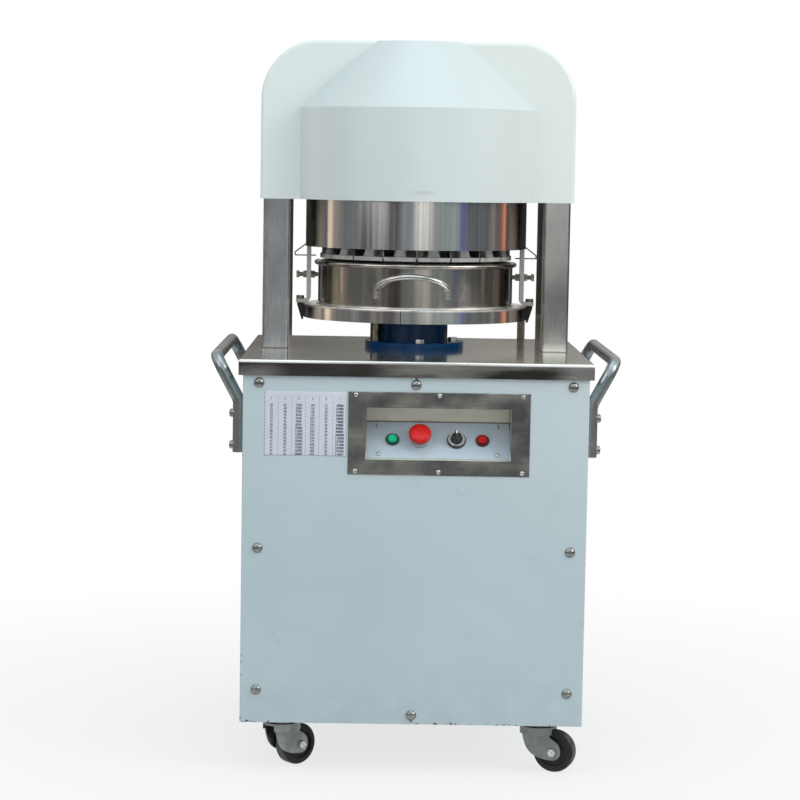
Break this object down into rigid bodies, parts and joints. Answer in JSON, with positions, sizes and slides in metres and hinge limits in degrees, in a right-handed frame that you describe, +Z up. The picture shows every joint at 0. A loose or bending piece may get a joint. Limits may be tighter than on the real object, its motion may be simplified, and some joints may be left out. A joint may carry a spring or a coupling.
{
  "type": "dough divider",
  "caption": "Floor-standing bakery dough divider: hooded press head with pads and knives over a lifting pan tray, on a wheeled cabinet with a sunk control panel and push handles.",
  "frame": {"origin": "on the floor, under the middle of the table", "axes": "+Z up, -Y towards the operator who faces the control panel, +X to the right of that operator"},
  "size_m": [0.736, 0.64, 1.311],
  "materials": {
    "cabinet_paint": "pale blue-grey gloss paint",
    "frame_paint": "grey primer",
    "hood_paint": "off-white gloss paint",
    "polished_steel": "polished stainless steel",
    "satin_steel": "satin stainless steel",
    "bright_fasteners": "bright steel",
    "blue_paint": "navy gloss paint",
    "cylinder_paint": "dark grey paint",
    "pad_plastic": "light grey food-grade plastic",
    "black_steel": "black paint",
    "plate_paint": "cream paint",
    "collar_chrome": "chromed rings",
    "green_plastic": "green plastic",
    "red_plastic": "red plastic",
    "black_plastic": "black plastic",
    "pack_paint": "machine grey paint",
    "zinc_steel": "zinc plated",
    "wheel_rubber": "black rubber"
  },
  "bodies": {
    "machine": {"bottom_plate": "cabinet_paint", "side_panels": "cabinet_paint", "rear_panel": "cabinet_paint", "front_panel": "cabinet_paint", "base_frame": "frame_paint", "guide_bracket": "frame_paint", "hood": "hood_paint", "table_top": "polished_steel", "left_column": "polished_steel", "right_column": "polished_steel", "drum": "polished_steel", "handles": "polished_steel", "control_bezel": "polished_steel", "control_box": "satin_steel", "head_beam": "satin_steel", "panel_screws": "bright_fasteners", "control_screws": "bright_fasteners", "handle_bolts": "bright_fasteners", "flange_bolts": "bright_fasteners", "lift_cylinder": "blue_paint", "press_cylinder": "cylinder_paint", "knife_cylinders": "cylinder_paint", "control_plate": "plate_paint", "control_collars": "collar_chrome", "power_pack": "pack_paint", "caster_plates": "zinc_steel"},
    "tray": {"lift_ram": "satin_steel", "tray": "polished_steel", "straps": "satin_steel", "strap_brackets": "black_steel", "strap_bolts": "bright_fasteners", "centring_bolts": "bright_fasteners", "wire_clips": "satin_steel", "guide_bar": "satin_steel"},
    "pan": {"pan": "polished_steel", "pan_handle": "polished_steel", "pan_rivets": "bright_fasteners"},
    "press": {"press_plate": "satin_steel", "outer_pads": "pad_plastic", "middle_pads": "pad_plastic", "inner_pads": "pad_plastic", "press_ram": "satin_steel"},
    "knife": {"knife_frame": "satin_steel", "knife_rods": "satin_steel"},
    "start": {"start_button": "green_plastic"},
    "stop": {"stop_button": "red_plastic"},
    "estop": {"estop_cap": "red_plastic"},
    "selector": {"selector_knob": "black_plastic"},
    "front_left_swivel": {"front_left_fork": "zinc_steel", "front_left_axle": "zinc_steel"},
    "front_left_roll": {"front_left_wheel": "wheel_rubber"},
    "front_right_swivel": {"front_right_fork": "zinc_steel", "front_right_axle": "zinc_steel"},
    "front_right_roll": {"front_right_wheel": "wheel_rubber"},
    "rear_left_swivel": {"rear_left_fork": "zinc_steel", "rear_left_axle": "zinc_steel"},
    "rear_left_roll": {"rear_left_wheel": "wheel_rubber"},
    "rear_right_swivel": {"rear_right_fork": "zinc_steel", "rear_right_axle": "zinc_steel"},
    "rear_right_roll": {"rear_right_wheel": "wheel_rubber"}
  },
  "joints": [
    {"name": "tray_lift", "type": "slide", "parent": "machine", "child": "tray", "axis": [0, 0, 1], "range_m": [0, 0.042]},
    {"name": "pan_draw", "type": "slide", "parent": "tray", "child": "pan", "axis": [0, 1, 0], "range_m": [-0.3, 0]},
    {"name": "press_drop", "type": "slide", "parent": "machine", "child": "press", "axis": [0, 0, -1], "range_m": [0, 0.03]},
    {"name": "knife_drop", "type": "slide", "parent": "machine", "child": "knife", "axis": [0, 0, -1], "range_m": [0, 0.04]},
    {"name": "start_push", "type": "slide", "parent": "machine", "child": "start", "axis": [0, 0.7682, -0.6402], "range_m": [0, 0.003], "stiffness_N_per_m": 400},
    {"name": "stop_push", "type": "slide", "parent": "machine", "child": "stop", "axis": [0, 0.7682, -0.6402], "range_m": [0, 0.003], "stiffness_N_per_m": 400},
    {"name": "estop_push", "type": "slide", "parent": "machine", "child": "estop", "axis": [0, 0.7682, -0.6402], "range_m": [0, 0.005]},
    {"name": "selector_turn", "type": "hinge", "parent": "machine", "child": "selector", "pos_m": [0.073, -0.27654, 0.59728], "axis": [0, -0.7682, 0.6402], "range_deg": [-45, 45]},
    {"name": "front_left_swivel_turn", "type": "hinge", "parent": "machine", "child": "front_left_swivel", "pos_m": [-0.2315, -0.254, 0.077], "axis": [0, 0, 1], "continuous": true},
    {"name": "front_left_wheel_roll", "type": "hinge", "parent": "front_left_swivel", "child": "front_left_roll", "pos_m": [-0.20737, -0.23375, 0.0375], "axis": [0.6428, -0.766, 0], "continuous": true},
    {"name": "front_right_swivel_turn", "type": "hinge", "parent": "machine", "child": "front_right_swivel", "pos_m": [0.2315, -0.254, 0.077], "axis": [0, 0, 1], "continuous": true},
    {"name": "front_right_wheel_roll", "type": "hinge", "parent": "front_right_swivel", "child": "front_right_roll", "pos_m": [0.2611, -0.26477, 0.0375], "axis": [-0.342, -0.9397, 0], "continuous": true},
    {"name": "rear_left_swivel_turn", "type": "hinge", "parent": "machine", "child": "rear_left_swivel", "pos_m": [-0.2315, 0.254, 0.077], "axis": [0, 0, 1], "continuous": true},
    {"name": "rear_left_wheel_roll", "type": "hinge", "parent": "rear_left_swivel", "child": "rear_left_roll", "pos_m": [-0.20295, 0.26731, 0.0375], "axis": [0.4226, -0.9063, 0], "continuous": true},
    {"name": "rear_right_swivel_turn", "type": "hinge", "parent": "machine", "child": "rear_right_swivel", "pos_m": [0.2315, 0.254, 0.077], "axis": [0, 0, 1], "continuous": true},
    {"name": "rear_right_wheel_roll", "type": "hinge", "parent": "rear_right_swivel", "child": "rear_right_roll", "pos_m": [0.26269, 0.24962, 0.0375], "axis": [-0.1392, -0.9903, 0], "continuous": true}
  ]
}
